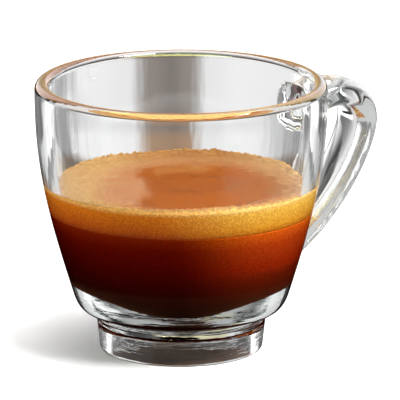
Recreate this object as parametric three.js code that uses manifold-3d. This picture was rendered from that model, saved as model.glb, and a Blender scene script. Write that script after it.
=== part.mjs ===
// A double espresso in its small pressed-glass cup: bowl, hollow foot and handle are one
// piece of glass, with the espresso and its thick crema inside. Millimetres, +Z up, the
// middle of the whole thing over the origin and the foot standing on z = 0.

import * as THREE from "three";
import * as BufferGeometryUtils from "three/addons/utils/BufferGeometryUtils.js";
import Module from "manifold-3d";

const wasm = await Module();
wasm.setup();

// Driving dimensions
const rimRadius = 32.5;
const height = 60.9;
const wall = 3.3;
const shoulder = { radius: 24.1, height: 13 };
const bowlSwell = { out: 6.4, up: 20.5, belowLip: 16.1 };
const underside = { radius: 20.6, height: 9.2, bulge: 22.9 };
const foot = { topRadius: 18.95, topHeight: 7.6, bottomRadius: 18.05, edge: 1.1, neck: 0.3 };
const recess = { mouthRadius: 15.5, topRadius: 15.1, depth: 6, rounding: 0.5, corner: 1.6 };
// Inside, the floor rises in a cone, which bends into a wall of even thickness above wallFrom
const cavity = {
  floorRadius: 3.8, floorHeight: 11.8, coneSlope: 0.387, coneRadius: 18, cornerRadius: 22.9, wallFrom: 23,
};
const espressoTop = 31.9;
const cremaTop = 37.9;
// The froth's bank along the glass, with how uneven it is, and the swell of the calm middle
const froth = { rise: 0.9, width: 5.5, wide: 0.22, narrow: 0.14, swell: 0.12 };
const clearance = 0.3;
const handle = { reach: 49.8, width: 11.4, thickness: 6.2, squareness: 2.8 };
// The handle's middle line, as distance from the cup's axis and height
const handleRun = {
  root: [28.5, 49.7],
  rise: [41.8, 58.2],
  aboveTurn: 51.6,
  turn: 47.1,
  belowTurn: 41.9,
  fall: [38.1, 24.8],
  end: [20.5, 16.6],
};
const flare = { reach: 3.2, growth: 0.34 };
const turns = 64;

const lipRadius = wall / 2;
const lipHeight = height - lipRadius;
const boreRadius = rimRadius - wall;

// Outlines are drawn as radius and height

function at(radius, z) {
  return new THREE.Vector2(radius, z);
}

function bend(from, corner, to, divisions) {
  return new THREE.QuadraticBezierCurve(from, corner, to).getPoints(divisions);
}

// Outer face of the bowl, from its shoulder up to the lip
function bowlCurve() {
  return new THREE.CubicBezierCurve(
    at(shoulder.radius, shoulder.height),
    at(shoulder.radius + bowlSwell.out, shoulder.height + bowlSwell.up),
    at(rimRadius, lipHeight - bowlSwell.belowLip),
    at(rimRadius, lipHeight),
  );
}

// Inner face, moved inwards by inset; a negative inset moves it out into the glass
function cavityOutline(inset) {
  const side = bowlCurve().getPoints(16)
    .filter((point) => point.y > cavity.wallFrom)
    .map((point) => at(point.x - wall - inset, point.y));
  const floor = cavity.floorHeight + inset;
  const onCone = (radius) => at(radius - inset, floor + cavity.coneSlope * (radius - cavity.floorRadius));
  return [
    at(0, floor),
    onCone(cavity.floorRadius),
    ...bend(onCone(cavity.coneRadius), onCone(cavity.cornerRadius), side[0], 7),
    ...side.slice(1),
  ];
}

function footOutline() {
  const sideSlope = (foot.topRadius - foot.bottomRadius) / foot.topHeight;
  const edgeTop = at(foot.bottomRadius + sideSlope * foot.edge, foot.edge);
  const ceiling = recess.depth;
  return [
    at(0, ceiling),
    ...bend(at(recess.topRadius - recess.corner, ceiling), at(recess.topRadius, ceiling),
      at(recess.topRadius, ceiling - recess.corner), 3),
    ...bend(at(recess.mouthRadius, recess.rounding), at(recess.mouthRadius, 0),
      at(recess.mouthRadius + recess.rounding, 0), 2),
    ...bend(at(foot.bottomRadius - foot.edge, 0), at(foot.bottomRadius, 0), edgeTop, 4),
    at(foot.topRadius, foot.topHeight - foot.neck),
    ...bend(at(foot.topRadius, foot.topHeight), at(foot.topRadius + foot.neck, underside.height - foot.neck),
      at(underside.radius, underside.height), 3),
  ];
}

function lipOutline() {
  const lip = new THREE.EllipseCurve(rimRadius - lipRadius, lipHeight, lipRadius, lipRadius, 0, Math.PI);
  return lip.getPoints(8).slice(1, -1);
}

// Solids

function revolve(outline) {
  return new THREE.LatheGeometry(outline, turns).rotateX(Math.PI / 2);
}

function toSolid(geometry) {
  const bare = geometry.clone();
  bare.deleteAttribute("normal");
  bare.deleteAttribute("uv");
  const merged = BufferGeometryUtils.mergeVertices(bare, 1e-4);
  return new wasm.Manifold(new wasm.Mesh({
    numProp: 3,
    vertProperties: Float32Array.from(merged.attributes.position.array),
    triVerts: Uint32Array.from(merged.index.array),
  }));
}

function toGeometry(solid) {
  const mesh = solid.getMesh();
  const geometry = new THREE.BufferGeometry();
  geometry.setAttribute("position", new THREE.BufferAttribute(mesh.vertProperties, 3));
  geometry.setIndex(new THREE.BufferAttribute(mesh.triVerts, 1));
  geometry.computeVertexNormals();
  return geometry;
}

// Radius of an outline at a height, by straight steps between its points
function radiusAt(outline, z) {
  const above = outline.findIndex((point) => point.y > z);
  const high = outline[above];
  const low = outline[above - 1];
  return low.x + (high.x - low.x) * (z - low.y) / (high.y - low.y);
}

// Handle: a flat strap that leaves the bowl under the lip, turns down and comes back low
function handlePath() {
  const beside = (radius, z) => new THREE.Vector3(radius, 0, z);
  const reach = handle.reach - handle.thickness / 2;
  const turn = beside(reach, handleRun.turn);
  const path = new THREE.CurvePath();
  path.add(new THREE.CubicBezierCurve3(
    beside(...handleRun.root), beside(...handleRun.rise), beside(reach, handleRun.aboveTurn), turn,
  ));
  path.add(new THREE.CubicBezierCurve3(
    turn, beside(reach, handleRun.belowTurn), beside(...handleRun.fall), beside(...handleRun.end),
  ));
  return path;
}

function strapSection() {
  const corners = 20;
  const soften = (value, half) => Math.sign(value) * half * Math.abs(value) ** (2 / handle.squareness);
  const points = [];
  for (let i = 0; i < corners; i += 1) {
    const angle = 2 * Math.PI * i / corners;
    points.push(at(soften(Math.cos(angle), handle.width / 2), soften(Math.sin(angle), handle.thickness / 2)));
  }
  return new THREE.Shape(points);
}

// The strap thickens where it runs into the bowl
function flareToBowl(geometry, path, bowl) {
  const position = geometry.attributes.position;
  const middles = path.getSpacedPoints(200);
  const point = new THREE.Vector3();
  for (let i = 0; i < position.count; i += 1) {
    point.fromBufferAttribute(position, i);
    const gap = Math.hypot(point.x, point.y) - radiusAt(bowl, point.z);
    const closeness = THREE.MathUtils.clamp(1 - gap / flare.reach, 0, 1);
    const middle = middles.reduce((best, other) => (
      other.distanceToSquared(point) < best.distanceToSquared(point) ? other : best
    ));
    point.sub(middle).multiplyScalar(1 + flare.growth * closeness ** 2).add(middle);
    position.setXYZ(i, point.x, point.y, point.z);
  }
  return geometry;
}

function handleSolid() {
  const path = handlePath();
  const strap = new THREE.ExtrudeGeometry(strapSection(), { extrudePath: path, steps: 34 });
  const bowl = bowlCurve().getPoints(40);
  const core = [...cavityOutline(-wall / 2), at(boreRadius + wall / 2, height + 5), at(0, height + 5)];
  return toSolid(flareToBowl(strap, path, bowl)).subtract(toSolid(revolve(core)));
}

function glassCup() {
  const shoulderBend = bend(at(underside.radius, underside.height), at(underside.bulge, underside.height),
    at(shoulder.radius, shoulder.height), 5);
  const outline = [
    ...footOutline(),
    ...shoulderBend.slice(1),
    ...bowlCurve().getPoints(8).slice(1),
    ...lipOutline(),
    ...cavityOutline(0).reverse(),
  ];
  return toGeometry(toSolid(revolve(outline)).add(handleSolid()));
}

// Drink: both layers fill the bowl to just short of the glass
function espresso() {
  const top = espressoTop - clearance / 2;
  const wallLine = cavityOutline(clearance);
  const side = wallLine.filter((point) => point.y < top);
  return revolve([...side, at(radiusAt(wallLine, top), top), at(0, top)]);
}

// Froth clings to the glass in a soft, uneven bank round a calmer middle
function frothHeight(radius, angle) {
  const edge = radiusAt(cavityOutline(clearance), cremaTop);
  const bank = THREE.MathUtils.smoothstep(radius, edge - froth.width, edge);
  const uneven = 1 + froth.wide * Math.sin(3 * angle + 0.7) + froth.narrow * Math.sin(7 * angle + 2);
  const swell = froth.swell * Math.sin(radius / 3 + 2 * Math.sin(angle)) * (1 - bank);
  return froth.rise * bank * uneven + swell;
}

function crema() {
  const bottom = espressoTop + clearance / 2;
  const wallLine = cavityOutline(clearance);
  const side = wallLine.filter((point) => point.y > bottom && point.y < cremaTop);
  const edge = radiusAt(wallLine, cremaTop);
  const rings = [1, 0.98, 0.95, 0.91, 0.87, 0.82, 0.7, 0.54, 0.36, 0.18, 0];
  const surface = rings.map((share) => at(edge * share, cremaTop));
  const geometry = revolve([at(0, bottom), at(radiusAt(wallLine, bottom), bottom), ...side, ...surface]);
  const position = geometry.attributes.position;
  for (let i = 0; i < position.count; i += 1) {
    if (position.getZ(i) > cremaTop - 1e-3) {
      const x = position.getX(i);
      const y = position.getY(i);
      position.setZ(i, cremaTop + frothHeight(Math.hypot(x, y), Math.atan2(y, x)));
    }
  }
  return geometry;
}

// Materials

function glassMaterial() {
  return new THREE.MeshStandardMaterial({
    color: 0xf2f4f3, roughness: 0.03, metalness: 0, transparent: true, opacity: 0.35,
  });
}

function espressoMaterial() {
  return new THREE.MeshStandardMaterial({ color: 0x3a0b04, roughness: 0.12, metalness: 0 });
}

function cremaMaterial() {
  return new THREE.MeshStandardMaterial({ color: 0xc07a2c, roughness: 0.5, metalness: 0 });
}

function piece(name, geometry, material) {
  const mesh = new THREE.Mesh(geometry, material);
  mesh.name = name;
  return mesh;
}

const drink = new THREE.Group();
drink.add(
  piece("glass_cup", glassCup(), glassMaterial()),
  piece("espresso", espresso(), espressoMaterial()),
  piece("crema", crema(), cremaMaterial()),
);
drink.position.x = (rimRadius - handle.reach) / 2;

export default drink;
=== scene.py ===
import math

import bmesh
import bpy
import numpy as np
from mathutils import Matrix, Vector, noise


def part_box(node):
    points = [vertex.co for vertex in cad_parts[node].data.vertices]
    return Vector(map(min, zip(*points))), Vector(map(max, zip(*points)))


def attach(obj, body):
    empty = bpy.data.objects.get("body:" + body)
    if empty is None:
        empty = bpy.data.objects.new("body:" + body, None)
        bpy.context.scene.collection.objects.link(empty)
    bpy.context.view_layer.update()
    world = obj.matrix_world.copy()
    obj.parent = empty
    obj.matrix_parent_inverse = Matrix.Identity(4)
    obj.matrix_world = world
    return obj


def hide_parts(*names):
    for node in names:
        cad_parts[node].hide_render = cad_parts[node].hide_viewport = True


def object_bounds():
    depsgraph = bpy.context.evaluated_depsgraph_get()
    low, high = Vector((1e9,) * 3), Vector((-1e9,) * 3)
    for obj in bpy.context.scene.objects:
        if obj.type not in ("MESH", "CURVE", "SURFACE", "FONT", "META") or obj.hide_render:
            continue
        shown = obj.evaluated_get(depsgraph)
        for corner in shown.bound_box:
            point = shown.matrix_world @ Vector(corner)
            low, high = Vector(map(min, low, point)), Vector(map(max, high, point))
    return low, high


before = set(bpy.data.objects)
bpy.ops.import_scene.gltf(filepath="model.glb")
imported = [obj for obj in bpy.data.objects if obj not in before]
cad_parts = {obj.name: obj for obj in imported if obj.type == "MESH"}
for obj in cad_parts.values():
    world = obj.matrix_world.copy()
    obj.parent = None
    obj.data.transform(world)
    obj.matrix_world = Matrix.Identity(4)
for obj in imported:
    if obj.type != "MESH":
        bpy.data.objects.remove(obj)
cad_low, cad_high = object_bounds()

# The cup's own axis, found from the drink, which fills the bowl evenly all round.
MM = 0.001
drink_low, drink_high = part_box("espresso")
axis_x = (drink_low[0] + drink_high[0]) / 2


# Camera: a long lens about a metre and a half away, a little above the rim, with the
# handle turned to the right and away from it. The cup stands left of the frame's middle.
view_azimuth = math.radians(-32)
view_elevation = math.radians(14.3)
view_distance = 1500 * MM
farthest_seen = 20
frame_width = 88.95 * MM
film_width = 36
cup_middle = Vector((axis_x, 0, 30 * MM))
aim_right = 4.18 * MM
aim_up = 3.6 * MM

towards_camera = Vector((
    math.sin(view_azimuth) * math.cos(view_elevation),
    -math.cos(view_azimuth) * math.cos(view_elevation),
    math.sin(view_elevation),
))
right_of_view = Vector((math.cos(view_azimuth), math.sin(view_azimuth), 0))
up_of_view = towards_camera.cross(right_of_view)
behind_cup = Vector((-math.sin(view_azimuth), math.cos(view_azimuth), 0))
aim = cup_middle + right_of_view * aim_right + up_of_view * aim_up

camera = bpy.data.objects.new("camera", bpy.data.cameras.new("camera"))
bpy.context.scene.collection.objects.link(camera)
camera.data.sensor_width = film_width
camera.data.lens = film_width * view_distance / frame_width
camera.data.clip_end = farthest_seen
camera.location = aim + towards_camera * view_distance
camera.rotation_euler = towards_camera.to_track_quat("Z", "Y").to_euler()
bpy.context.scene.camera = camera


# Table: a wide sheet of smooth white laminate, large enough to reach past every view.
table_half = 4.0
table_white = (0.93, 0.93, 0.93)
table_roughness = 0.7


def new_material(name):
    material = bpy.data.materials.new(name)
    material.use_nodes = True
    return material, material.node_tree.nodes, material.node_tree.links


def add_piece(name, vertices, faces, material):
    mesh = bpy.data.meshes.new(name)
    mesh.from_pydata([tuple(v) for v in vertices], [], [tuple(f) for f in faces])
    mesh.update()
    mesh.shade_smooth()
    mesh.materials.append(material)
    piece = bpy.data.objects.new(name, mesh)
    bpy.context.scene.collection.objects.link(piece)
    return piece


def matt_finish(name, colour, roughness):
    """A plain dull finish that mirrors nothing."""
    material, nodes, _ = new_material(name)
    shader = nodes["Principled BSDF"]
    shader.inputs["Base Color"].default_value = (*colour, 1)
    shader.inputs["Roughness"].default_value = roughness
    shader.inputs["Specular IOR Level"].default_value = 0.0
    return material


table = add_piece(
    "table",
    [(-table_half, -table_half, 0), (table_half, -table_half, 0), (table_half, table_half, 0),
     (-table_half, table_half, 0)],
    [(0, 1, 2, 3)],
    matt_finish("white_laminate", table_white, table_roughness),
)
table.visible_glossy = False


# Shade disc: a round of dark brown under the cup's hollow foot, smaller than the foot, is
# painted shade for the deep shade inside the foot's ring, so that the clear foot reads dark
# against the white table.
shade_disc_radius = 17 * MM
shade_disc_thickness = 0.1 * MM
shade_disc_brown = (0.13, 0.090, 0.066)
shade_disc_roughness = 0.9
shade_disc_turns = 48


def shade_disc_edge():
    angles = [2 * math.pi * i / shade_disc_turns for i in range(shade_disc_turns)]
    return [(axis_x + shade_disc_radius * math.cos(a), shade_disc_radius * math.sin(a), shade_disc_thickness)
            for a in angles]


shade_disc = add_piece("shade_disc", shade_disc_edge(), [tuple(range(shade_disc_turns))],
                 matt_finish("painted_shade_disc", shade_disc_brown, shade_disc_roughness))


# Studio light: a soft box to the right and above, a wider, weaker one overhead that the
# glass doesn't mirror, and a grey room all round that fills the shadows.
room_grey = 0.45
light_bounces = 20
mirror_bounces = 12

bpy.context.scene.view_settings.view_transform = "Standard"
bpy.context.scene.cycles.max_bounces = light_bounces
bpy.context.scene.cycles.transmission_bounces = light_bounces
bpy.context.scene.cycles.glossy_bounces = mirror_bounces

room = bpy.data.worlds.new("room")
bpy.context.scene.world = room
room.use_nodes = True
background = room.node_tree.nodes["Background"]
background.inputs["Color"].default_value = (room_grey, room_grey, room_grey, 1)
background.inputs["Strength"].default_value = 1.0
room.cycles_visibility.glossy = False


def soft_box(name, right, back, up, size, power):
    """A round soft box at a place from the cup's middle, turned towards it."""
    light = bpy.data.lights.new(name, "AREA")
    light.shape = "DISK"
    light.size = size
    light.energy = power
    lamp = bpy.data.objects.new(name, light)
    bpy.context.scene.collection.objects.link(lamp)
    lamp.location = cup_middle + right_of_view * right + behind_cup * back + Vector((0, 0, up))
    lamp.rotation_euler = (lamp.location - cup_middle).to_track_quat("Z", "Y").to_euler()
    return lamp


soft_box("key_light", right=0.38, back=-0.22, up=0.8, size=0.42, power=12)
overhead = soft_box("top_light", right=-0.05, back=0.1, up=1.1, size=0.9, power=7)
overhead.visible_glossy = False


# Glowing sheets behind the cup and at its left, which show only through its glass and paint the
# light and shade that it shows. The back one is white with a dark gap in the middle and grey
# towards its sides, and its tones change with height, because each part of the cup bends another
# strip of it into view.
sheet_distance = 110 * MM
sheet_half_width = 160 * MM
sheet_height = 200 * MM
sheet_bottom = 1 * MM
side_sheet_depth = 300 * MM


def ramp_of(nodes, links, value, stops, way="LINEAR"):
    """The colour at a value, from stops that each give a place and a colour."""
    ramp = nodes.new("ShaderNodeValToRGB")
    ramp.color_ramp.interpolation = way
    elements = ramp.color_ramp.elements
    while len(elements) < len(stops):
        elements.new(0.5)
    for element, (position, colour) in zip(elements, stops):
        element.position = position
        element.color = (*colour, 1)
    links.new(value, ramp.inputs["Fac"])
    return ramp.outputs["Color"]


def share_between(nodes, links, value, low, high, most=1.0):
    """A share that rises softly from none at the low value to its most at the high one."""
    share = nodes.new("ShaderNodeMapRange")
    share.interpolation_type = "SMOOTHSTEP"
    share.inputs["From Min"].default_value = low
    share.inputs["From Max"].default_value = high
    share.inputs["To Max"].default_value = most
    links.new(value, share.inputs["Value"])
    return share.outputs["Result"]


def blend_of(nodes, links, share, first, second, way="MIX"):
    """The first colour blended into the second. Each is a plain colour or a node's output."""
    blend = nodes.new("ShaderNodeMix")
    blend.data_type = "RGBA"
    blend.blend_type = way
    sockets = (blend.inputs[0], blend.inputs[6], blend.inputs[7])
    for source, socket in zip((share, first, second), sockets):
        if isinstance(source, tuple):
            socket.default_value = (*source, 1)
        else:
            links.new(source, socket)
    return blend.outputs[2]


def painted_glow(name, rows):
    """A painted glow in rows of tones. A row starts to show at one height and is full at another."""
    material, nodes, links = new_material(name)
    nodes.remove(nodes["Principled BSDF"])
    glow = nodes.new("ShaderNodeEmission")
    place = nodes.new("ShaderNodeTexCoord")
    split = nodes.new("ShaderNodeSeparateXYZ")
    links.new(place.outputs["UV"], split.inputs["Vector"])
    across, up = split.outputs["X"], split.outputs["Y"]
    shown = ramp_of(nodes, links, across, rows[0][2], "EASE")
    for starts, full, tones in rows[1:]:
        share = share_between(nodes, links, up, starts, full)
        shown = blend_of(nodes, links, share, shown, ramp_of(nodes, links, across, tones, "EASE"))
    links.new(shown, glow.inputs["Color"])
    links.new(glow.outputs["Emission"], nodes["Material Output"].inputs["Surface"])
    return material


def grey(level):
    return (level, level, level)


def all_across(tone):
    return [(0.0, tone), (1.0, tone)]


def lay_sheet(name, corners, material, mirrored):
    """A sheet from its lower left corner anticlockwise, seen only in mirrors or only through glass."""
    sheet = add_piece(name, corners, [(0, 1, 2, 3)], material)
    layer = sheet.data.uv_layers.new(name="across_and_up")
    for corner, place in zip(layer.data, [(0, 0), (1, 0), (1, 1), (0, 1)]):
        corner.uv = place
    sheet.visible_camera = False
    sheet.visible_diffuse = False
    sheet.visible_shadow = False
    sheet.visible_glossy = mirrored
    sheet.visible_transmission = not mirrored


def hang_sheet(name, left_end, right_end, height, material, mirrored=False):
    top = Vector((0, 0, height))
    lay_sheet(name, [left_end, right_end, right_end + top, left_end + top], material, mirrored)


def level_sheet(name, middle, half_width, half_depth, material, mirrored=False):
    right = right_of_view * half_width
    back = behind_cup * half_depth
    corners = [middle - right - back, middle + right - back, middle + right + back, middle - right + back]
    lay_sheet(name, corners, material, mirrored)


# Tones of the back sheet, each at its place across it
left_side = [(0.0, grey(1.6)), (0.17, grey(1.6)), (0.23, grey(0.24)), (0.34, grey(0.36))]
right_side = [(0.605, grey(0.65)), (0.64, grey(0.34)), (0.72, grey(0.22)), (0.80, grey(0.22)),
              (0.85, grey(2.2)), (0.90, grey(3.4))]
foot_tones = [
    (0.0, grey(1.6)), (0.25, grey(1.2)), (0.34, grey(0.07)), (0.66, grey(0.07)), (0.75, grey(0.8)),
    (1.0, grey(1.8)),
]
# The tan, cream and gold tones below are painted reflections of the drink in the glass, including a
# painted highlight on the froth, and the near-black ones are painted shade
tan_froth_reflection = (0.44, 0.265, 0.15)
tan_tones = left_side + [
    (0.40, grey(1.05)), (0.425, grey(1.12)), (0.452, grey(1.05)), (0.474, tan_froth_reflection),
    (0.490, (0.38, 0.225, 0.12)), (0.506, tan_froth_reflection), (0.522, grey(0.97)), (0.55, grey(1.08)),
    (0.582, grey(1.0)),
] + right_side
wall_middle = [
    (0.425, grey(0.90)), (0.452, grey(0.87)), (0.474, (0.25, 0.215, 0.192)),
    (0.490, (0.19, 0.164, 0.148)), (0.506, (0.255, 0.223, 0.20)), (0.522, grey(0.86)),
    (0.55, grey(0.92)), (0.582, grey(0.89)),
]
wall_tones = left_side + [(0.40, grey(0.84))] + wall_middle + right_side
base_tones = [
    (0.0, grey(1.9)), (0.30, grey(1.9)), (0.35, grey(0.42)), (0.385, grey(0.5)), (0.41, grey(0.95)),
] + wall_middle + [(0.61, grey(0.9)), (0.64, grey(2.4)), (0.83, grey(2.4)), (0.88, grey(4.0))]
ledge_shade = (0.03, 0.05, 0.055)
ledge_tones = [
    (0.0, grey(1.9)), (0.25, grey(1.9)), (0.275, ledge_shade), (0.385, ledge_shade), (0.41, grey(0.8)),
] + wall_middle + [(0.605, grey(0.6)), (0.625, ledge_shade), (0.745, ledge_shade), (0.765, grey(2.4))]
froth_highlight_cream = (1.3, 1.2, 0.8)
froth_mirror_tones = [
    (0.0, grey(1.9)), (0.36, grey(1.6)), (0.40, froth_highlight_cream), (0.456, froth_highlight_cream), (0.468, grey(0.0)),
    (0.535, grey(0.0)), (0.555, grey(0.22)), (0.60, grey(0.12)), (0.64, grey(0.12)), (0.70, grey(1.8)),
    (1.0, grey(1.8)),
]
lip_gold_reflection = (4, 3.6, 2.4)
lip_tones = [
    (0.0, grey(1.6)), (0.36, grey(1.4)), (0.42, grey(1.1)), (0.45, lip_gold_reflection), (0.55, lip_gold_reflection),
    (0.58, grey(0.3)), (0.64, grey(0.16)), (0.70, grey(1.8)), (1.0, grey(1.8)),
]
# From below: what shows in the foot, in the wall just over the froth, in the rest of the wall,
# in the glass under the drink and along its ledge, what the froth mirrors, and the lip.
back_rows = [
    (0, 0, foot_tones),
    (0.058, 0.078, tan_tones),
    (0.098, 0.12, wall_tones),
    (0.135, 0.17, base_tones),
    (0.186, 0.196, ledge_tones),
    (0.222, 0.236, froth_mirror_tones),
    (0.42, 0.47, lip_tones),
]
side_rows = [(0, 0, all_across(grey(0.92))), (0.22, 0.26, all_across(grey(0.25)))]

back_middle = cup_middle + behind_cup * sheet_distance
back_middle.z = sheet_bottom
back_left = back_middle - right_of_view * sheet_half_width
back_right = back_middle + right_of_view * sheet_half_width
hang_sheet("back_sheet", back_left, back_right, sheet_height,
           painted_glow("painted_light_back", back_rows))
hang_sheet("side_sheet", back_left - behind_cup * side_sheet_depth, back_left, sheet_height,
           painted_glow("painted_light_left", side_rows))


# Floor glow: a glowing sheet paints the floor that shows through the glass, a little less bright
# than the open table, with painted shade far in front of the cup and under the back sheet.
floor_glow_half = 400 * MM
floor_glow_level = 0.05 * MM
floor_rows = [
    (0, 0, all_across(grey(0.72))),
    (0.33, 0.37, all_across(grey(0.97))),
    (0.6, 0.618, all_across(grey(0.36))),
]
level_sheet("floor_sheet", Vector((0, 0, floor_glow_level)), floor_glow_half, floor_glow_half,
            painted_glow("floor_light", floor_rows))


# Screen: a tall bright one further back shows only as a reflection, along the rim and the
# handle's top. Its middle is tan.
screen_distance = 400 * MM
screen_half_width = 500 * MM
screen_height = 900 * MM
screen_bottom = 60 * MM
screen_white = grey(2.4)
screen_tan = (1.4, 1.0, 0.55)
screen_tones = [(0.0, screen_white), (0.32, screen_white), (0.44, screen_tan), (0.53, screen_tan),
                (0.58, screen_white)]
screen_middle = cup_middle + behind_cup * screen_distance
screen_middle.z = screen_bottom
hang_sheet("bright_screen", screen_middle - right_of_view * screen_half_width,
           screen_middle + right_of_view * screen_half_width, screen_height,
           painted_glow("screen_light", [(0, 0, screen_tones)]), mirrored=True)


# Card: a small warm one just over the front of the cup shows only as a reflection, mostly as
# a golden line along the lip.
card_height = 121 * MM
card_in_front = 55 * MM
card_half_width = 50 * MM
card_half_depth = 52 * MM
card_gold = (9.5, 12, 4.4)
level_sheet("gold_card", Vector((axis_x, 0, card_height)) - behind_cup * card_in_front,
            card_half_width, card_half_depth,
            painted_glow("card_light", [(0, 0, all_across(card_gold))]), mirrored=True)


# Cup, bowl and foot: clear soda-lime glass pressed in a mould and fire-polished, so that
# every edge is round. The wall is thick, and the foot is a hollow ring under the bowl.
rim_radius = 32.5 * MM
cup_height = 60.9 * MM
wall = 3.3 * MM
lip_radius = wall / 2
lip_height = cup_height - lip_radius
bore_radius = rim_radius - wall
shoulder = (24.1 * MM, 13 * MM)
shoulder_bulge = 22.9 * MM
bowl_swell = (6.4 * MM, 20.5 * MM)
below_lip = 16.1 * MM
underside = (20.6 * MM, 9.2 * MM)
foot_top = (18.95 * MM, 7.6 * MM)
foot_bottom_radius = 18.05 * MM
foot_edge = 1.1 * MM
# The foot's rounded top edge, and the cove over it, as steps out and up from the foot's top
foot_brim = ((-0.15 * MM, -0.9 * MM), (-0.02 * MM, -0.2 * MM), (-0.2 * MM, 0))
cove_start = (-0.1 * MM, 0.15 * MM)
cove_out = 0.1 * MM
cove_below_bowl = 0.3 * MM
recess_mouth = 15.5 * MM
recess_top = 15.1 * MM
recess_depth = 6 * MM
recess_rounding = 0.5 * MM
recess_corner = 1.6 * MM
# Inside, the floor rises in a cone, which bends into a wall of even thickness
floor_height = 11.8 * MM
floor_radius = 3.8 * MM
cone_slope = 0.387
crease_width = 1.5 * MM
cone_radius = 18 * MM
corner_radius = 22.9 * MM
even_wall_from = 23 * MM
bowl_steps = 48
lip_steps = 18
cup_turns = 160


def bend(start, corner, end, steps):
    t = np.linspace(0, 1, steps + 1)[:, None]
    return (1 - t) ** 2 * np.array(start) + 2 * (1 - t) * t * np.array(corner) + t ** 2 * np.array(end)


def sweep(start, first, second, end, steps):
    t = np.linspace(0, 1, steps + 1)[:, None]
    return ((1 - t) ** 3 * np.array(start) + 3 * (1 - t) ** 2 * t * np.array(first)
            + 3 * (1 - t) * t ** 2 * np.array(second) + t ** 3 * np.array(end))


def bowl_outside(steps):
    return sweep(shoulder, (shoulder[0] + bowl_swell[0], shoulder[1] + bowl_swell[1]),
                 (rim_radius, lip_height - below_lip), (rim_radius, lip_height), steps)


def bowl_inside(inset, steps):
    """The bowl's inner face, moved inwards; a negative inset moves it out into the glass."""
    outside = bowl_outside(2 * steps)
    side = outside[outside[:, 1] > even_wall_from] - np.array([wall + inset, 0])
    level = floor_height + inset

    def on_cone(radius):
        return radius - inset, level + cone_slope * (radius - floor_radius)

    crease = bend((floor_radius - inset - crease_width, level), on_cone(floor_radius),
                  on_cone(floor_radius + crease_width), 6)
    foot_of_wall = bend(on_cone(cone_radius), on_cone(corner_radius), side[0], steps // 2)
    return np.vstack([[(0, level)], crease, foot_of_wall, side[1:]])


def foot_outside():
    slope = (foot_top[0] - foot_bottom_radius) / foot_top[1]
    ceiling = bend((recess_top - recess_corner, recess_depth), (recess_top, recess_depth),
                   (recess_top, recess_depth - recess_corner), 8)
    mouth = bend((recess_mouth, recess_rounding), (recess_mouth, 0),
                 (recess_mouth + recess_rounding, 0), 6)
    edge = bend((foot_bottom_radius - foot_edge, 0), (foot_bottom_radius, 0),
                (foot_bottom_radius + slope * foot_edge, foot_edge), 8)
    brim = [(foot_top[0] + out, foot_top[1] + up) for out, up in foot_brim]
    cove = bend((foot_top[0] + cove_start[0], foot_top[1] + cove_start[1]),
                (foot_top[0] + cove_out, underside[1] - cove_below_bowl), underside, 8)
    return np.vstack([[(0, recess_depth)], ceiling, mouth, edge, bend(*brim, 5), cove])


def lip_outside(steps):
    angle = np.linspace(0, math.pi, steps + 1)[1:-1]
    return np.stack([rim_radius - lip_radius + lip_radius * np.cos(angle),
                     lip_height + lip_radius * np.sin(angle)], 1)


def cup_outline():
    shoulder_bend = bend(underside, (shoulder_bulge, underside[1]), shoulder, 14)
    return np.vstack([foot_outside(), shoulder_bend[1:], bowl_outside(bowl_steps)[1:],
                      lip_outside(lip_steps), bowl_inside(0, bowl_steps)[::-1]])


def spin(outline, turns):
    """A closed round body about the cup's axis, from an outline that starts and ends on it."""
    rings = outline[1:-1]
    angle = np.arange(turns) * 2 * math.pi / turns
    ring_points = [(axis_x + r * math.cos(a), r * math.sin(a), z) for r, z in rings for a in angle]
    vertices = ring_points + [(axis_x, 0, outline[0][1]), (axis_x, 0, outline[-1][1])]
    first, last = len(ring_points), len(ring_points) + 1
    faces = []
    for i in range(turns):
        j = (i + 1) % turns
        faces.append((first, j, i))
        for k in range(len(rings) - 1):
            a, b = k * turns, (k + 1) * turns
            faces.append((a + i, a + j, b + j, b + i))
        end = (len(rings) - 1) * turns
        faces.append((last, end + i, end + j))
    return vertices, faces


# The glass is faintly grey in its depth. Its faces ripple a little, in upright streaks on the
# wall and in rings round the foot.
glass_bending = 1.5
glass_depth_tone = (0.40, 0.43, 0.42, 1)
glass_greyness = 26
ripple_depth = 0.25 * MM
ripple_scale = 230
ripple_strength = 0.25
upright_streaks = (1, 1, 0.16)
ring_scale = 130
ring_strength = 0.5
level_rings = (0.45, 0.45, 6)
rings_below = 16 * MM
rings_full_below = rings_below - 5 * MM


def noise_of(nodes, links, place, scale, detail, roughness=0.5, distortion=0.0):
    cloud = nodes.new("ShaderNodeTexNoise")
    cloud.inputs["Scale"].default_value = scale
    cloud.inputs["Detail"].default_value = detail
    cloud.inputs["Roughness"].default_value = roughness
    cloud.inputs["Distortion"].default_value = distortion
    links.new(place, cloud.inputs["Vector"])
    return cloud.outputs["Fac"]


def stretch_of(nodes, links, place, scale):
    stretch = nodes.new("ShaderNodeMapping")
    stretch.inputs["Scale"].default_value = scale
    links.new(place, stretch.inputs["Vector"])
    return stretch.outputs["Vector"]


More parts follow.
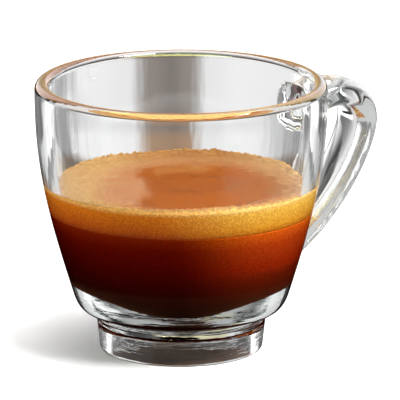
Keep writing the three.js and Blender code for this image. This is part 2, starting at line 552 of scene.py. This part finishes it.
def glass_finish():
    material, nodes, links = new_material("clear_pressed_glass")
    shader = nodes["Principled BSDF"]
    shader.inputs["Base Color"].default_value = (1, 1, 1, 1)
    shader.inputs["Roughness"].default_value = 0.0
    shader.inputs["IOR"].default_value = glass_bending
    shader.inputs["Transmission Weight"].default_value = 1.0
    depth = nodes.new("ShaderNodeVolumeAbsorption")
    depth.inputs["Color"].default_value = glass_depth_tone
    depth.inputs["Density"].default_value = glass_greyness
    links.new(depth.outputs["Volume"], nodes["Material Output"].inputs["Volume"])

    place = nodes.new("ShaderNodeTexCoord").outputs["Object"]
    split = nodes.new("ShaderNodeSeparateXYZ")
    links.new(place, split.inputs["Vector"])
    streaks = noise_of(nodes, links, stretch_of(nodes, links, place, upright_streaks), ripple_scale, 2)
    rings = noise_of(nodes, links, stretch_of(nodes, links, place, level_rings), ring_scale, 3)
    ring_share = share_between(nodes, links, split.outputs["Z"], rings_below, rings_full_below,
                               ring_strength)
    streak_bump = nodes.new("ShaderNodeBump")
    streak_bump.inputs["Distance"].default_value = ripple_depth
    streak_bump.inputs["Strength"].default_value = ripple_strength
    links.new(streaks, streak_bump.inputs["Height"])
    ring_bump = nodes.new("ShaderNodeBump")
    ring_bump.inputs["Distance"].default_value = ripple_depth
    links.new(rings, ring_bump.inputs["Height"])
    links.new(ring_share, ring_bump.inputs["Strength"])
    links.new(streak_bump.outputs["Normal"], ring_bump.inputs["Normal"])
    links.new(ring_bump.outputs["Normal"], shader.inputs["Normal"])
    return material


clear_glass = glass_finish()
cup = add_piece("glass_cup_dressed", *spin(cup_outline(), cup_turns), clear_glass)


# Handle: a flat strap of the same glass, pressed with the bowl. It leaves just under the
# lip, turns down and runs back to the bowl low on its side, and swells into it at both ends.
strap_reach = cad_high[0] - axis_x
strap_half_width = 5.7 * MM
strap_half_thickness = 3.1 * MM
strap_squareness = 2 / 2.8
# The strap's middle line, as distance from the cup's axis and height
strap_root = (28.5 * MM, 49.7 * MM)
strap_rise = (41.8 * MM, 58.2 * MM)
above_turn = 51.6 * MM
turn_height = 47.1 * MM
below_turn = 41.9 * MM
strap_fall = (38.1 * MM, 24.8 * MM)
strap_end = (20.5 * MM, 16.6 * MM)
strap_steps = 150
strap_corners = 44
line_steps = 200
fillet = 2.0 * MM
fillet_fullness = 0.8
core_top = cup_height + 5 * MM


def strap_line(steps):
    reach = strap_reach - strap_half_thickness
    turn = (reach, turn_height)
    over = sweep(strap_root, strap_rise, (reach, above_turn), turn, steps)
    back = sweep(turn, (reach, below_turn), strap_fall, strap_end, steps)
    line = np.vstack([over, back[1:]])
    length = np.concatenate([[0], np.cumsum(np.linalg.norm(np.diff(line, axis=0), axis=1))])
    even = np.linspace(0, length[-1], strap_steps + 1)
    return np.stack([np.interp(even, length, line[:, 0]), np.interp(even, length, line[:, 1])], 1)


def squared(wave):
    return np.sign(wave) * np.abs(wave) ** strap_squareness


def strap_mesh():
    line = strap_line(line_steps)
    along = np.gradient(line, axis=0)
    along /= np.linalg.norm(along, axis=1)[:, None]
    outward = np.stack([-along[:, 1], along[:, 0]], 1)
    angle = np.arange(strap_corners) * 2 * math.pi / strap_corners
    section = list(zip(squared(np.cos(angle)), squared(np.sin(angle))))
    bowl = bowl_outside(80)
    vertices = []
    for middle, direction in zip(line, outward):
        for u, v in section:
            radius_out = middle[0] + direction[0] * v * strap_half_thickness
            height = middle[1] + direction[1] * v * strap_half_thickness
            y = u * strap_half_width
            gap = math.hypot(radius_out, y) - np.interp(height, bowl[:, 1], bowl[:, 0])
            near = min(max(1 - gap / fillet, 0), 1)
            swell = fillet * (1 - math.sqrt(1 - near ** 2)) * fillet_fullness
            size = math.hypot(u, v)
            vertices.append((
                axis_x + radius_out + direction[0] * v / size * swell,
                y + u / size * swell,
                height + direction[1] * v / size * swell,
            ))
    n = strap_corners
    faces = []
    for k in range(len(line) - 1):
        for i in range(n):
            j = (i + 1) % n
            faces.append((k * n + i, k * n + j, (k + 1) * n + j, (k + 1) * n + i))
    end = (len(line) - 1) * n
    faces.append(tuple(range(n))[::-1])
    faces.append(tuple(end + i for i in range(n)))
    return vertices, faces


def join(target, tool, operation):
    modifier = target.modifiers.new(operation.lower(), "BOOLEAN")
    modifier.operation = operation
    modifier.object = tool
    modifier.solver = "EXACT"
    evaluated = target.evaluated_get(bpy.context.evaluated_depsgraph_get())
    mesh = bpy.data.meshes.new_from_object(evaluated)
    target.modifiers.clear()
    target.data = mesh
    bpy.data.objects.remove(tool)


def outward_normals(piece):
    work = bmesh.new()
    work.from_mesh(piece.data)
    bmesh.ops.recalc_face_normals(work, faces=work.faces)
    work.to_mesh(piece.data)
    work.free()


# The strap is cut off inside the bowl's wall, so that none of it stands in the drink
strap = add_piece("strap", *strap_mesh(), clear_glass)
core_outline = np.vstack([bowl_inside(-wall / 2, 30), [(bore_radius + wall / 2, core_top)],
                          [(0, core_top)]])
core = add_piece("core", *spin(core_outline, cup_turns), clear_glass)
for piece in (cup, strap, core):
    outward_normals(piece)
join(strap, core, "DIFFERENCE")
join(cup, strap, "UNION")
cup.data.shade_smooth()
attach(cup, "root")
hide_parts("glass_cup")
cup.visible_shadow = False


# Espresso: strong black coffee that fills the bowl to the froth. It is near black where it
# is deepest, and a painted red-brown glow lies under the crema and on the side the light comes from.
espresso_top = 31.9 * MM
into_glass = 0.1 * MM
wall_steps = 60


def layer_outline(low, high, steps):
    """The drink's edge in the wall, from one height to another."""
    inside = bowl_inside(-into_glass, wall_steps)
    heights = np.linspace(low, high, steps + 1)
    return np.stack([np.interp(heights, inside[:, 1], inside[:, 0]), heights], 1)


def espresso_outline():
    inside = bowl_inside(-into_glass, wall_steps)
    base = inside[inside[:, 1] < espresso_top]
    edge = layer_outline(espresso_top, espresso_top, 0)
    return np.vstack([base, edge, [(0, espresso_top)]])


# Light from the right is painted into the drink: a colour on its side is a blend of a painted
# shaded tone and a painted lit one by the place round the cup. Tones run from the layer's bottom
# to its top.
lit_side = right_of_view
coffee_roughness = 0.12
coffee_sheen = 0.25
coffee_sheen_roughness = 0.25
coffee_sheen_brown = (0.9, 0.42, 0.22, 1)
coffee_shaded = [
    (0.0, (0.019, 0.0022, 0.0010)), (0.3, (0.038, 0.0014, 0.0002)), (0.6, (0.090, 0.0018, 0.0001)),
    (0.85, (0.135, 0.0042, 0.0003)), (1.0, (0.22, 0.017, 0.001)),
]
coffee_lit = [
    (0.0, (0.074, 0.025, 0.012)), (0.25, (0.170, 0.018, 0.004)), (0.6, (0.37, 0.025, 0.003)),
    (0.85, (0.52, 0.057, 0.006)), (1.0, (0.80, 0.14, 0.008)),
]
coffee_lit_from, coffee_lit_to = -2 * MM, 21 * MM
fines_scale = 2700
fines_tint = (0.78, 0.68, 0.68)
fines_from, fines_full = 0.6, 0.42


def spread(nodes, links, value, low, high, least=0.0, most=1.0):
    """A number that rises evenly from its least at the low value to its most at the high one."""
    level = nodes.new("ShaderNodeMapRange")
    level.inputs["From Min"].default_value = low
    level.inputs["From Max"].default_value = high
    level.inputs["To Min"].default_value = least
    level.inputs["To Max"].default_value = most
    links.new(value, level.inputs["Value"])
    return level.outputs["Result"]


def distance_along(nodes, links, place, direction):
    along = nodes.new("ShaderNodeVectorMath")
    along.operation = "DOT_PRODUCT"
    along.inputs[1].default_value = tuple(direction)
    links.new(place, along.inputs[0])
    return along.outputs["Value"]


def place_in_cup(nodes, links):
    """Place from the cup's axis, with its height and how far it lies towards the light."""
    place = nodes.new("ShaderNodeTexCoord")
    from_axis = nodes.new("ShaderNodeVectorMath")
    from_axis.operation = "SUBTRACT"
    from_axis.inputs[1].default_value = (axis_x, 0, 0)
    links.new(place.outputs["Object"], from_axis.inputs[0])
    split = nodes.new("ShaderNodeSeparateXYZ")
    links.new(from_axis.outputs["Vector"], split.inputs["Vector"])
    towards_light = distance_along(nodes, links, from_axis.outputs["Vector"], lit_side)
    return from_axis.outputs["Vector"], split.outputs["Z"], towards_light


def side_tone(nodes, links, level, shaded, lit_tones, lit_share):
    return blend_of(nodes, links, lit_share, ramp_of(nodes, links, level, shaded),
                    ramp_of(nodes, links, level, lit_tones))


def espresso_finish():
    material, nodes, links = new_material("black_coffee")
    shader = nodes["Principled BSDF"]
    shader.inputs["Roughness"].default_value = coffee_roughness
    shader.inputs["Specular IOR Level"].default_value = 0.0
    shader.inputs["Sheen Weight"].default_value = coffee_sheen
    shader.inputs["Sheen Roughness"].default_value = coffee_sheen_roughness
    shader.inputs["Sheen Tint"].default_value = coffee_sheen_brown
    place, height, lit = place_in_cup(nodes, links)
    level = spread(nodes, links, height, floor_height, espresso_top)
    lit_share = share_between(nodes, links, lit, coffee_lit_from, coffee_lit_to)
    colour = side_tone(nodes, links, level, coffee_shaded, coffee_lit, lit_share)
    fines = noise_of(nodes, links, place, fines_scale, 2)
    fines_share = share_between(nodes, links, fines, fines_from, fines_full)
    speckled = blend_of(nodes, links, fines_share, colour, fines_tint, "MULTIPLY")
    links.new(speckled, shader.inputs["Base Color"])
    return material


espresso = add_piece("espresso_dressed", *spin(espresso_outline(), cup_turns), espresso_finish())
outward_normals(espresso)
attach(espresso, "root")
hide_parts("espresso")


# Crema: dense golden-brown froth about six millimetres deep, which settles on the coffee as
# it is poured. It clings to the glass in an uneven paler bank, and its middle is calmer.
crema_top = 37.9 * MM
crema_radius = 28.3 * MM
froth_rise = 0.9 * MM
froth_width = 5.5 * MM
froth_wide = 0.22
froth_narrow = 0.14
calm_swell = 0.12 * MM
swell_from, swell_full = 1 * MM, 12 * MM
fine_froth = 0.42 * MM
fine_froth_in_calm = 0.012
fine_froth_scale = 900
fine_froth_fall, fine_froth_step, fine_froth_layers = 0.35, 2.2, 4
crema_rings = 90
crema_turns = 480


def smooth_step(value, low, high):
    t = np.clip((value - low) / (high - low), 0, 1)
    return t * t * (3 - 2 * t)


def froth_height(radius, angle, edge):
    bank = smooth_step(radius, edge - froth_width, edge)
    uneven = 1 + froth_wide * math.sin(3 * angle + 0.7) + froth_narrow * math.sin(7 * angle + 2)
    swell = calm_swell * math.sin(radius / MM * 0.33 + 2 * math.sin(angle)) * (1 - bank)
    swell *= smooth_step(radius, swell_from, swell_full)
    x, y = radius * math.cos(angle), radius * math.sin(angle)
    fine = noise.fractal(Vector((x, y, 0)) * fine_froth_scale, fine_froth_fall, fine_froth_step,
                         fine_froth_layers)
    return froth_rise * bank * uneven + swell + fine_froth * fine * (fine_froth_in_calm + bank)


def crema_mesh():
    side = layer_outline(espresso_top, crema_top, 20)
    edge = side[-1][0]
    shares = np.linspace(1, 0, crema_rings)[1:]
    surface = np.stack([edge * shares, np.full(shares.size, crema_top)], 1)
    outline = np.vstack([[(0, espresso_top)], side, surface])
    vertices, faces = spin(outline, crema_turns)
    just_below_top = crema_top - 1e-7
    lifted = []
    for x, y, z in vertices:
        if z > just_below_top:
            radius = math.hypot(x - axis_x, y)
            z = crema_top + froth_height(radius, math.atan2(y, x - axis_x), edge)
        lifted.append((x, y, z))
    return lifted, faces


# Its side, seen through the glass, from bottom to top, in painted shaded and lit tones
side_shaded = [
    (0.0, (0.32, 0.040, 0.001)), (0.25, (0.50, 0.098, 0.001)), (0.85, (0.72, 0.200, 0.006)),
    (0.97, (0.74, 0.38, 0.10)),
]
side_lit = [
    (0.0, (0.53, 0.15, 0.005)), (0.25, (0.79, 0.37, 0.026)), (0.85, (0.90, 0.56, 0.095)),
    (0.97, (0.88, 0.60, 0.20)),
]
side_lit_from, side_lit_to = -8 * MM, 20 * MM
# Its top: the calm middle is paler to the left and duller to the right, painted reflections
# that follow the side the light comes from; the bank is paler still, with painted reflections of
# its own to the left and right; and a narrow ring of gold, a painted highlight, runs along the glass
calm_brown = (0.330, 0.090, 0.0)
calm_reflection_left = (0.35, 0.195, 0.040)
calm_reflection_left_from, calm_reflection_left_full = 4 * MM, -7 * MM
calm_reflection_right = (0.285, 0.108, 0.018)
calm_reflection_right_from, calm_reflection_right_full = 26 * MM, 40 * MM
reflection_wander_scale = 90
reflection_wander_reach = 34 * MM
bank_brown = (0.27, 0.122, 0.025)
bank_reflection_left = (0.34, 0.210, 0.075)
bank_reflection_left_from, bank_reflection_left_full = -4 * MM, -20 * MM
bank_reflection_right = (0.35, 0.235, 0.110)
bank_reflection_right_from, bank_reflection_right_full = 8 * MM, 24 * MM
bank_from, bank_full = 19 * MM, 32.5 * MM
bank_lean = behind_cup * 0.2 - right_of_view * 0.14
patch_scale = 300
patch_reach = 9 * MM
edge_highlight_gold = (0.42, 0.26, 0.08)
edge_highlight_from, edge_highlight_full = crema_radius - 1.6 * MM, crema_radius - 0.5 * MM
calm_roughness, bank_roughness = 0.05, 0.8
crema_mirror = 0.12
foam_scale = 900
foam_tint = (0.74, 0.60, 0.40)
foam_from, foam_full = 0.60, 0.40
bubble_scale = 2400
bubble_tint = (0.80, 0.66, 0.5)
bubble_from, bubble_full = 0.62, 0.42
bubble_depth = 0.1 * MM
bubble_strength = 0.5
facing_up_from, facing_up_full = 0.2, 0.6


def times_plus(nodes, links, value, factor, added):
    total = nodes.new("ShaderNodeMath")
    total.operation = "MULTIPLY_ADD"
    total.inputs[1].default_value = factor
    links.new(value, total.inputs[0])
    links.new(added, total.inputs[2])
    return total.outputs["Value"]


def distance_from_axis(nodes, links, place):
    flat = nodes.new("ShaderNodeVectorMath")
    flat.operation = "MULTIPLY"
    flat.inputs[1].default_value = (1, 1, 0)
    links.new(place, flat.inputs[0])
    length = nodes.new("ShaderNodeVectorMath")
    length.operation = "LENGTH"
    links.new(flat.outputs["Vector"], length.inputs[0])
    return length.outputs["Value"]


# The froth's top, with painted reflections to the left and right and a painted highlight in a ring along
# the glass
def crema_top_tone(nodes, links, place, lit, radius, bank_share):
    reflection_wander = noise_of(nodes, links, place, reflection_wander_scale, 5, distortion=1.2)
    reflection_place = times_plus(nodes, links, reflection_wander, reflection_wander_reach, lit)
    reflection_left_share = share_between(nodes, links, reflection_place, calm_reflection_left_from, calm_reflection_left_full)
    reflection_right_share = share_between(nodes, links, reflection_place, calm_reflection_right_from, calm_reflection_right_full)
    calm = blend_of(nodes, links, reflection_left_share, calm_brown, calm_reflection_left)
    calm = blend_of(nodes, links, reflection_right_share, calm, calm_reflection_right)
    reflection_left_share = share_between(nodes, links, lit, bank_reflection_left_from, bank_reflection_left_full)
    reflection_right_share = share_between(nodes, links, lit, bank_reflection_right_from, bank_reflection_right_full)
    bank = blend_of(nodes, links, reflection_left_share, bank_brown, bank_reflection_left)
    bank = blend_of(nodes, links, reflection_right_share, bank, bank_reflection_right)
    banked = blend_of(nodes, links, bank_share, calm, bank)
    edge_highlight_share = share_between(nodes, links, radius, edge_highlight_from, edge_highlight_full)
    ringed = blend_of(nodes, links, edge_highlight_share, banked, edge_highlight_gold)
    foam = noise_of(nodes, links, place, foam_scale, 6, roughness=0.9)
    foam_share = share_between(nodes, links, foam, foam_from, foam_full)
    return blend_of(nodes, links, foam_share, ringed, foam_tint, "MULTIPLY")


def crema_finish():
    material, nodes, links = new_material("golden_froth")
    shader = nodes["Principled BSDF"]
    shader.inputs["Specular IOR Level"].default_value = crema_mirror
    place, height, lit = place_in_cup(nodes, links)
    level = spread(nodes, links, height, espresso_top, crema_top)
    lit_share = share_between(nodes, links, lit, side_lit_from, side_lit_to)
    side_colour = side_tone(nodes, links, level, side_shaded, side_lit, lit_share)

    # The bank is ragged, and wider at the back and the left
    radius = distance_from_axis(nodes, links, place)
    leaning = nodes.new("ShaderNodeMath")
    leaning.operation = "ADD"
    links.new(radius, leaning.inputs[0])
    links.new(distance_along(nodes, links, place, bank_lean), leaning.inputs[1])
    patches = noise_of(nodes, links, place, patch_scale, 8, roughness=0.75)
    ragged = times_plus(nodes, links, patches, patch_reach, leaning.outputs["Value"])
    bank_share = share_between(nodes, links, ragged, bank_from, bank_full)
    top_colour = crema_top_tone(nodes, links, place, lit, radius, bank_share)

    facing = nodes.new("ShaderNodeNewGeometry")
    facing_split = nodes.new("ShaderNodeSeparateXYZ")
    links.new(facing.outputs["Normal"], facing_split.inputs["Vector"])
    top_share = share_between(nodes, links, facing_split.outputs["Z"], facing_up_from, facing_up_full)
    colour = blend_of(nodes, links, top_share, side_colour, top_colour)
    bubbles = noise_of(nodes, links, place, bubble_scale, 2)
    bubble_share = share_between(nodes, links, bubbles, bubble_from, bubble_full)
    speckled = blend_of(nodes, links, bubble_share, colour, bubble_tint, "MULTIPLY")
    links.new(speckled, shader.inputs["Base Color"])

    gloss = spread(nodes, links, bank_share, 0.0, 1.0, calm_roughness, bank_roughness)
    links.new(gloss, shader.inputs["Roughness"])
    bump = nodes.new("ShaderNodeBump")
    bump.inputs["Distance"].default_value = bubble_depth
    pitted = spread(nodes, links, bank_share, 0.0, 1.0, 0.0, bubble_strength)
    links.new(pitted, bump.inputs["Strength"])
    links.new(bubbles, bump.inputs["Height"])
    links.new(bump.outputs["Normal"], shader.inputs["Normal"])
    return material


crema = add_piece("crema_dressed", *crema_mesh(), crema_finish())
outward_normals(crema)
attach(crema, "root")
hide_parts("crema")
